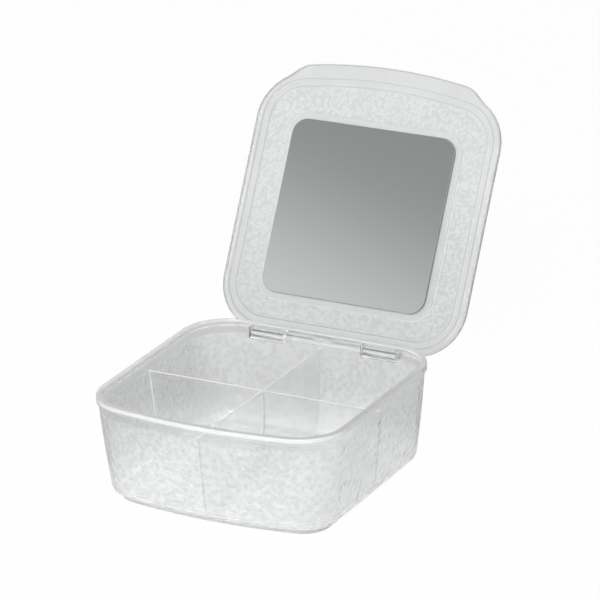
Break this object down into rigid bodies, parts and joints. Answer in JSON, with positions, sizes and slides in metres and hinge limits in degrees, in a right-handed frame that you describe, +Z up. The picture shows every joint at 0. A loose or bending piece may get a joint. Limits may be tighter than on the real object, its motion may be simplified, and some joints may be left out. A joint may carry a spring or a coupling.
{
  "type": "vanity box",
  "caption": "Clear square vanity box with rounded corners, a cross divider making small compartments, and a hinged lid that carries a mirror inside.",
  "frame": {"origin": "on the table, at the middle of the box's width and depth over its rim", "axes": "+Z up, -Y towards the open front, +X to the right seen from the front; the lid stands open at rest"},
  "size_m": [0.1224, 0.1903, 0.1502],
  "materials": {
    "clear_box": "clear, hammered",
    "clear_divider": "clear, glossy",
    "clear_lid": "clear, hammered panel and smooth edge",
    "pin_steel": "plain drawn wire",
    "adhesive": "matt foam",
    "silvered_glass": "polished"
  },
  "bodies": {
    "box": {"box_body": "clear_box", "divider_lengthwise": "clear_divider", "divider_crosswise": "clear_divider", "hinge_pin": "pin_steel"},
    "lid": {"lid_cover": "clear_lid", "mirror_tape": "adhesive", "mirror_glass": "silvered_glass"}
  },
  "joints": [
    {"name": "lid_hinge", "type": "hinge", "parent": "box", "child": "lid", "pos_m": [0, 0.06335, 0.0427], "axis": [1, 0, 0], "range_deg": [0, 119]}
  ]
}
